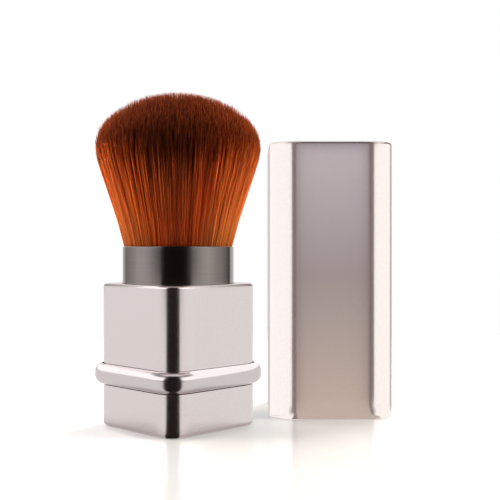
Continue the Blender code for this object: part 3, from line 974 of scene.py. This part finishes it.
    def lean(self, share: np.ndarray) -> np.ndarray:
        """How far the fan has opened: straight at first, then easing upright.

        Args:
            share: Shares of the fan's height.

        Returns:
            Shares of the way from the radius at the roots to the fan's.
        """
        eased = self.straight_share + self.ease_share * (
            1 - np.exp(-np.maximum(share - self.straight_share, 0) / self.ease_share))
        return np.where(share < self.straight_share, np.maximum(share, 0), eased)

    def clump_centres(self) -> np.ndarray:
        """Spread the middles of the clumps that the filaments lean to over a disc of radius 1.

        Returns:
            Their places in X and Y.
        """
        index = np.arange(self.clumps)
        golden_angle = math.pi * (3 - math.sqrt(5))
        return self.round_the_middle(np.sqrt((index + 0.5) / self.clumps), index * golden_angle)

    def pick_lanes(self, share: np.ndarray, clump: np.ndarray, rng: np.random.Generator) -> np.ndarray:
        """Choose each filament's lane: its class of length by its place, and its tone by its clump.

        Args:
            share: How far out each filament stands, from 0 to 1.
            clump: The number of each filament's clump.
            rng: The source of the scatter.

        Returns:
            The lane numbers.
        """
        classes, tones = self.finish.classes, self.finish.tones
        own = rng.integers(0, tones, len(share))
        # Uneven steps keep clumps that stand side by side apart in tone.
        shared = (clump * 7 + clump // 5) % tones
        tone = np.where(rng.random(len(share)) < self.clump_tone_share, shared, own)
        return np.minimum((share ** 2 * classes).astype(int), classes - 1) * tones + tone

    def map_tones(self, mesh: Mesh, points: np.ndarray, faces: Faces,
                  lanes: np.ndarray) -> None:
        """Write the UV map: across, each strand's tone lane, and up, its length.

        Args:
            mesh: The tuft's mesh.
            points: The strand's points.
            faces: The strand's faces.
            lanes: Each strand's lane number.
        """
        side = []
        for face in faces:
            middle = points[list(face)].mean(axis=0)
            start = math.atan2(middle[1], middle[0])
            for corner in face:
                swing = math.atan2(points[corner][1], points[corner][0]) - start
                wrapped = math.atan2(math.sin(swing), math.cos(swing))
                side.append((0.5 + self.lane_swing_share * wrapped, points[corner][2]))
        side = np.array(side)
        uv = np.empty((len(lanes), len(side), 2))
        inside = np.clip(side[:, 0], self.lane_edge_share, 1 - self.lane_edge_share)
        uv[:, :, 0] = (lanes[:, None] + inside[None, :]) / self.finish.lanes
        uv[:, :, 1] = self.map_edge_share + (1 - 2 * self.map_edge_share) * side[None, :, 1]
        layer = mesh.uv_layers.new(name="OFBake")
        layer.data.foreach_set("uv", uv.reshape(-1))


@dataclass
class Cap:
    """The square cap, which stands beside the brush with its mouth down."""

    finish: SatinAluminium
    width: float = 30.5 * MM
    corner: float = 6.55 * MM
    wall: float = 0.5 * MM
    fillet: float = 0.6 * MM

    def build(self) -> None:
        """Model the cap, closed at its top, where the frame's cap stands."""
        low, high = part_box("cap_shell")
        centre = ((low[0] + high[0]) / 2, (low[1] + high[1]) / 2)
        cap = SquareShell("cap_case", self.width, self.corner, low[2], high[2], self.wall, self.fillet,
                          OpenEnd.FOOT, centre=centre).build()
        finish = replace(self.finish, centre=centre, width=self.width)
        settle(cap, finish.build(), "cap", "satin_metal", "cap_shell")


@dataclass
class InnerWorks:
    """The moulded and turned pieces that the frame already shapes well, which only need a finish."""

    moulded: MouldedPlastic = MouldedPlastic("moulded grey ABS", "#D9D6D1", "#D0CCC6", 0.42)
    slip: MouldedPlastic = MouldedPlastic("natural acetal", "#EFEDE6", "#E7E4DA", 0.32, depth=0.001 * MM)
    rubber: MouldedPlastic = MouldedPlastic("black nitrile rubber", "#2A2A2C", "#222224", 0.75, ior=1.52)
    resin: MouldedPlastic = MouldedPlastic("cast amber epoxy", "#C8AE72", "#BC9F60", 0.14,
                                           depth=0.001 * MM, ior=1.55, clear_coat=0.6)
    steel: PlainSteel = PlainSteel()

    def build(self) -> None:
        """Give each slot's nodes their material."""
        by_slot = {
            "moulded_plastic": self.moulded.build(), "slip_plastic": self.slip.build(),
            "soft_rubber": self.rubber.build(), "cast_resin": self.resin.build(),
            "plain_steel": self.steel.build()}
        for part in frame["record"]["subparts"]:
            material = by_slot.get(part["material_slot"])
            if material:
                dress(frame["nodes"][part["node"]], material)
                log.info("%s: %s", part["node"], material.name)


# Stage


def show_only_in_reflections(obj: Object) -> None:
    """Hide a stage piece from all but glossy rays."""
    for rays in ("camera", "diffuse", "transmission", "volume_scatter", "shadow"):
        setattr(obj, f"visible_{rays}", False)


@dataclass
class Card:
    """A lit or black card that only the metal's reflections see."""

    name: str
    corner: Point
    opposite: Point
    shades: Shades
    face: LitFace
    strength: float = 1.0
    grade: Grade = Grade.UPWARD

    def build(self) -> None:
        """Set the card between its two corners, with its shades in a row, or only the first if flat."""
        low, high = (Vector(map(pick, self.corner, self.opposite)) for pick in (min, max))
        size = high - low
        card = start_shape(self.name, "plane", size=1.0)
        if size.z < TOUCH:
            card.scale = (size.x, size.y, 1.0)
        elif size.x < TOUCH:
            card.scale = (size.z, size.y, 1.0)
            card.rotation_euler.y = QUARTER_TURN
        else:
            card.scale = (size.x, size.z, 1.0)
            card.rotation_euler.x = QUARTER_TURN
        card.location = (low + high) / 2
        apply_place(card)
        look = new_look("reflector card")
        axis = self.grade.value
        share = look.add("MapRange", (look.axes.outputs[axis], low[axis], high[axis]))
        shade = look.add("ValToRGB", (share,), tuple(zip((0.0, 0.5, 1.0), self.shades)))
        light = look.add("Emission", {"Color": shade, "Strength": self.strength})
        clear = look.add("BsdfTransparent")
        front, back = (light, clear) if self.face is LitFace.FRONT else (clear, light)
        behind = look.add("NewGeometry").outputs["Backfacing"]
        dress(card, look.end(look.add("MixShader", (behind, front, back))))
        show_only_in_reflections(card)


@dataclass(frozen=True)
class CapSide:
    """The edges in X of the cards at one side of the cap, and how those cards look.

    A bright card stands at the outer edge as far back as the turn, and a rim card goes on there.
    The flag before the cap ends at the inner edge, and the level flag over its side at another.
    The grey floor ends at an edge of its own, and the dark line on it is wider before the cap
    than at its foot.
    """

    name: str
    outer: float
    inner: float
    over: float
    grey: float
    dark: float
    foot: float
    turn: float
    bright: str
    rim: str
    lit: LitFace


@dataclass(frozen=True)
class BlackSector:
    """A black sector of the tent in front of the brush, by bearings in degrees from the front.

    It fades out between its two bearings, about its middle one. Its apex lies so far in front of
    the brush's middle.
    """

    black_to: float
    clear_from: float
    middle: float = 0.0
    apex: float = 0.0

    def share(self, look: Look) -> Node:
        """How far a point lies in the sector.

        Args:
            look: The look that is being made.

        Returns:
            The node that holds the share, 1 in the sector and 0 outside.
        """
        forward = look.add("Math", (look.axes.outputs["Y"], -1.0, -self.apex), operation="MULTIPLY_ADD")
        bearing = look.add("Math", (look.axes.outputs["X"], forward), operation="ARCTAN2")
        off = look.add("Math", (bearing, math.radians(self.middle)), operation="SUBTRACT")
        turned = look.add("Math", (off,), operation="ABSOLUTE")
        edges = (math.radians(self.black_to), math.radians(self.clear_from))
        return look.add("MapRange", (turned, *edges, 1.0, 0.0), interpolation_type="SMOOTHSTEP")


@dataclass(frozen=True)
class Lamp:
    """A square soft lamp, which the metal doesn't mirror."""

    name: str
    place: Point
    size: float
    power: float
    colour: str
    aim: Point = (0.01, 0.0, 0.04)

    def build(self) -> None:
        """Hang the lamp, and aim it at the brush."""
        lamp = bpy.data.lights.new(self.name, "AREA")
        lamp.size = self.size
        lamp.energy = self.power
        lamp.color = linear(self.colour)[:3]
        obj = bpy.data.objects.new(self.name, lamp)
        obj.location = self.place
        towards = Vector(self.aim) - Vector(self.place)
        obj.rotation_euler = towards.to_track_quat("-Z", "Y").to_euler()
        obj.visible_glossy = False
        bpy.context.collection.objects.link(obj)


@dataclass
class Studio:
    """A pale table, a white room, soft lamps, and the tent and cards that the metal mirrors."""

    camera_place: Point = (16.9 * MM, -210.0 * MM, 41.0 * MM)
    lens: float = 64.0
    clip_start: float = 0.005
    room_light: float = 0.38
    table_size: float = 3.0
    table_colour: str = "#CCD0D2"
    table_gloss_share: float = 0.34
    table_gloss_roughness: float = 0.12
    # In reflections the table carries a painted shadow round the foot.
    table_mirrored_shadow: tuple[str, str] = ("#BFB9B9", "#F1EFEF")
    painted_shadow_span: Pair = (16 * MM, 27 * MM)
    plain_span: Pair = (70 * MM, 250 * MM)
    tent_radius: float = 0.7
    tent_segments: int = 48
    tent_rings: int = 24
    tent_sides: tuple[str, str] = ("#F1EFF0", "#F1F0EE")
    tent_rim: str = "#DAD6D6"
    tent_black: str = "#241C1C"
    rim_depth_shares: Pair = (0.42, 0.70)
    rim_height_shares: Pair = (0.08, 0.16)
    top_shares: Pair = (0.90, 0.97)
    side_shares: Pair = (0.30, 0.50)
    bright_shares: tuple[float, ...] = (0.12, 0.24, 0.62, 0.76)
    bright_gain: float = 0.75
    dim_shares: tuple[float, ...] = (0.70, 0.80, 0.88, 0.95)
    dim_loss: float = 0.60
    corner_black: BlackSector = BlackSector(28.0, 36.0, apex=14.5 * MM)
    ferrule_black: BlackSector = BlackSector(18.0, 70.0, middle=-3.0)
    soft_middle: float = 32.0 * MM
    soft_reach: float = 28.0 * MM

    def build(self) -> None:
        """Set the stage."""
        self.build_camera()
        self.build_world()
        self.build_table()
        self.build_tent()
        for card in self.cards():
            card.build()
        for lamp in self.lamps():
            lamp.build()
        bpy.context.scene.view_settings.view_transform = "Standard"

    def build_camera(self) -> None:
        """Set the camera level with the middle of the brush, looking along +Y."""
        camera = bpy.data.objects.new("camera", bpy.data.cameras.new("camera"))
        camera.location = self.camera_place
        camera.rotation_euler = (QUARTER_TURN, 0.0, 0.0)
        camera.data.lens = self.lens
        camera.data.clip_start = self.clip_start
        bpy.context.collection.objects.link(camera)
        bpy.context.scene.camera = camera

    def build_world(self) -> None:
        """Light the room evenly, and show it as plain white."""
        look = Look(bpy.data.worlds.new("white room"))
        path = look.add("LightPath").outputs
        seen = look.add("Math", (path["Is Camera Ray"], path["Is Glossy Ray"]), operation="MAXIMUM")
        seen = look.add("Math", (seen, path["Is Transmission Ray"]), operation="MAXIMUM")
        strength = look.add("MapRange", (seen, 0.0, 1.0, self.room_light, 1.0))
        world = look.end(look.add("Background", {"Color": linear(WHITE), "Strength": strength}))
        # The tent stands for the room in reflections, so the two aren't added up.
        world.cycles_visibility.glossy = False
        bpy.context.scene.world = world

    def build_table(self) -> None:
        """Lay the white acrylic table, which mirrors the foot faintly and keeps the shadow."""
        table = start_shape("table", "plane", size=self.table_size, location=(0.0, 0.0, -TOUCH))
        look = new_look("white acrylic table")
        away = look.add("VectorMath", (look.place,), operation="LENGTH")
        path = look.add("LightPath").outputs
        far = look.add("MapRange", (away, *self.plain_span), interpolation_type="SMOOTHSTEP")
        plain = look.add("Math", (far, path["Is Camera Ray"]), operation="MULTIPLY")
        matt = look.add("BsdfDiffuse", (linear(self.table_colour),))
        gloss = look.add("BsdfAnisotropic", {
            "Color": linear(WHITE), "Roughness": self.table_gloss_roughness})
        sheet = look.add("MixShader", (self.table_gloss_share, matt, gloss))
        white = look.add("Emission", {"Color": linear(WHITE), "Strength": 1.0})
        shown = look.add("MixShader", (plain, sheet, white))
        # In the metal the table shows a painted shadow, greyer round the foot, and is black in front as the
        # tent is.
        near = look.add("MapRange", (away, *self.painted_shadow_span))
        under, beyond = (linear(colour) for colour in self.table_mirrored_shadow)
        graded = look.add("Mix", {"Factor": near, 6: under, 7: beyond}, data_type="RGBA")
        in_front = self.corner_black.share(look)
        ahead = look.add("Mix", {"Factor": in_front, 6: graded, 7: linear(self.tent_black)},
                         data_type="RGBA")
        mirrored = look.add("Emission", {"Color": ahead, "Strength": 1.0})
        dress(table, look.end(look.add("MixShader", (path["Is Glossy Ray"], shown, mirrored))))

    def build_tent(self) -> None:
        """Hang the tent round the table: bright at both sides, black in front, low grey behind."""
        tent = start_shape("tent", "uv_sphere", segments=self.tent_segments,
                           ring_count=self.tent_rings, radius=self.tent_radius)
        look = new_look("light tent")
        scaled = look.add("VectorMath", {0: look.place, "Scale": 1 / self.tent_radius}, operation="SCALE")
        shares = look.add("SeparateXYZ", (scaled,)).outputs
        dress(tent, look.end(look.add("Emission", {
            "Color": self.tent_colour(look, shares), "Strength": self.tent_strength(look, shares)})))
        show_only_in_reflections(tent)

    def tent_colour(self, look: Look, shares: bpy.types.bpy_prop_collection) -> Node:
        """The tent's colour.

        Args:
            look: The tent's look.
            shares: The outputs that hold the place in X, Y and Z as shares of the tent's radius.

        Returns:
            The node that holds the colour.
        """
        sides = look.add("MapRange", (shares["X"], -1.0))
        wall = look.add("ValToRGB", (sides,), tuple(enumerate(self.tent_sides)))
        # Behind, a low grey band rims the pieces, and white above it keeps the table white.
        behind = look.add("MapRange", (shares["Y"], *self.rim_depth_shares),
                          interpolation_type="SMOOTHSTEP")
        low = look.add("MapRange", (shares["Z"], *self.rim_height_shares, 1.0, 0.0))
        band = look.add("Math", (behind, low), operation="MULTIPLY")
        rimmed = look.add("Mix", {"Factor": band, 6: wall, 7: linear(self.tent_rim)}, data_type="RGBA")
        # The black has clear edges for the case's corner, and soft ones at the ferrule's level.
        level = look.add("Math", (look.axes.outputs["Z"], self.soft_middle, self.soft_reach),
                         operation="COMPARE")
        black = look.add("Mix", {
            "Factor": level, 2: self.corner_black.share(look), 3: self.ferrule_black.share(look)})
        fronted = look.add("Mix", {"Factor": black, 6: rimmed, 7: linear(self.tent_black)},
                           data_type="RGBA")
        top = look.add("MapRange", (shares["Z"], *self.top_shares))
        return look.add("Mix", {"Factor": top, 6: fronted, 7: linear(WHITE)}, data_type="RGBA")

    def tent_strength(self, look: Look, shares: bpy.types.bpy_prop_collection) -> Node:
        """How bright the tent is: more at mid height at both sides, and less in a ring over that.

        Args:
            look: The tent's look.
            shares: The outputs that hold the place in X, Y and Z as shares of the tent's radius.

        Returns:
            The node that holds the strength.
        """
        band = (BLACK, WHITE, WHITE, BLACK)
        climb = look.add("ValToRGB", (shares["Z"],), tuple(zip(self.bright_shares, band)))
        wide = look.add("Math", (shares["X"],), operation="ABSOLUTE")
        aside = look.add("MapRange", (wide, *self.side_shares))
        shine = look.add("Math", (climb, aside), operation="MULTIPLY")
        lifted = look.add("Math", (shine, self.bright_gain, 1.0), operation="MULTIPLY_ADD")
        dim = look.add("ValToRGB", (shares["Z"],), tuple(zip(self.dim_shares, band)))
        return look.add("Math", (dim, -self.dim_loss, lifted), operation="MULTIPLY_ADD")

    def cards(self) -> tuple[Card, ...]:
        """The cards and flags that the metal mirrors.

        A grey card stands before the cap between two flags, and white cards stand beyond these,
        each with a dimmer one behind it for the cap's outline. Level flags lie over the cap, level
        cards lie under its foot, and what stands beside it goes on above it, where it is lifted to.

        Returns:
            The cards, not yet built.
        """
        front, rear, backward = LitFace.FRONT, LitFace.BACK, Grade.BACKWARD
        black, shadow = ("#2A2222",) * 3, ("#857877",) * 3
        graded = ("#D3C6B9", "#AEA6A6", "#D3CFD6")
        glow = 1.25
        step = 0.1 * MM
        plane, wall, back = -15.0 * MM, 4.7 * MM, 60.0 * MM
        between, left, right, edge = 20.7 * MM, 29.2 * MM, 48.2 * MM, 59.2 * MM
        near, beside = between + step, between - step
        foot, top, over, lifted = 0.2 * MM, 69.4 * MM, 130.0 * MM, 140.0 * MM
        shelf, face, far = 69.6 * MM, 3.5 * MM, 30 * MM
        low, high, mid = 0.10 * MM, 0.15 * MM, -2 * MM
        grey_left, grey_right = 28.4 * MM, 49.0 * MM
        cards = [
            Card("card_grey", (left, plane, foot), (right, plane, top), graded, rear),
            Card("card_grey_over", (left, plane, shelf + step), (right, plane, lifted), graded, rear),
            Card("flag_top", (left, plane, shelf), (right, face, shelf), black, rear),
            Card("floor_grey", (grey_left, plane, low), (grey_right, wall, low), ("#D6CABE",) * 3, front),
        ]
        sides = (
            CapSide("left", near, left, 21.5 * MM, grey_left, 22.0 * MM, 26.8 * MM, 11.3 * MM,
                    WHITE, "#DED8D7", front),
            CapSide("right", edge, right, 52.2 * MM, grey_right, 54.0 * MM, 50.2 * MM, 14.0 * MM,
                    "#FFFFFA", "#C8C2C1", rear),
        )
        for side in sides:
            name, outer, turn, lit = side.name, side.outer, side.turn, side.lit
            bright, rim = (side.bright,) * 3, (side.rim,) * 3
            cards += [
                Card(f"flag_{name}", (outer, plane, foot), (side.inner, plane, over), shadow, rear),
                Card(f"card_cap_{name}", (outer, plane, foot), (outer, turn, lifted), bright, lit, glow),
                Card(f"card_{name}_rim", (outer, turn, foot), (outer, back, lifted), rim, lit),
                Card(f"flag_over_{name}", (outer, plane, shelf), (side.inner, face, shelf), shadow, rear),
                Card(f"flag_over_{name}_side", (outer, face, shelf), (side.over, far, shelf), shadow, rear),
                Card(f"floor_{name}", (outer, plane, low), (side.grey, turn, low), bright, front, glow),
                Card(f"flag_floor_{name}", (side.dark, plane, high), (side.grey, mid, high), shadow, front),
                Card(f"flag_foot_{name}", (side.foot, mid, high), (side.grey, wall, high), shadow, front),
            ]
        case, case_top = 8.5 * MM, 30.8 * MM
        ring, strip_left, strip_front, strip_back, strip_glow = 15 * MM, 4 * MM, -17 * MM, 3 * MM, 1.4
        ferrule_low, ferrule_high, right_back = 33 * MM, 45 * MM, 5 * MM
        apart, left_front, left_back = -21 * MM, -9.3 * MM, 13 * MM
        return (
            *cards,
            Card("flag_behind", (-case, far, foot), (case, far, case_top), black, front),
            Card("strip_ring", (strip_left, strip_front, ring), (beside, strip_back, ring), (WHITE,) * 3,
                 rear, strip_glow),
            Card("card_brush_side", (between, plane, foot), (between, back, over), ("#F0EFEF",) * 3, rear),
            Card("card_ferrule_right", (beside, plane, ferrule_low), (beside, right_back, ferrule_high),
                 ("#F1EEED", "#BDB9B8", "#383333"), rear, grade=backward),
            Card("card_ferrule_left", (apart, left_front, ferrule_low), (apart, left_back, ferrule_high),
                 ("#E5E2E1", "#A29E9D", "#F9F8F7"), front, grade=backward),
        )

    def lamps(self) -> tuple[Lamp, ...]:
        """Soft lamps at both sides, above and behind."""
        return (
            Lamp("lamp_left", (-0.42, 0.0, 0.04), 0.24, 10.0, "#FFF0E8"),
            Lamp("lamp_right", (0.42, -0.02, 0.05), 0.24, 10.0, "#FFF4E8"),
            Lamp("lamp_top", (0.0, 0.10, 0.50), 0.40, 0.6, WHITE),
            Lamp("lamp_back_left", (-0.28, 0.24, 0.06), 0.25, 4.2, "#FFF6EE"),
            Lamp("lamp_back_right", (0.22, 0.30, 0.10), 0.25, 4.2, "#FFF6EE"),
        )


def main() -> None:
    """Build the brush from its foot up, then its cap, its inner works and the stage."""
    logging.basicConfig(level=logging.INFO, format="%(name)s: %(message)s")
    sizes = CaseSizes()
    satin = SatinAluminium()
    Base(sizes, satin).build()
    Neck(sizes, satin, PolishedPlating()).build()
    Ferrule(GunmetalPlating()).build()
    BristleHead(BrushFibre()).build()
    Cap(satin).build()
    InnerWorks().build()
    Studio().build()


if __name__ == "__main__":
    main()
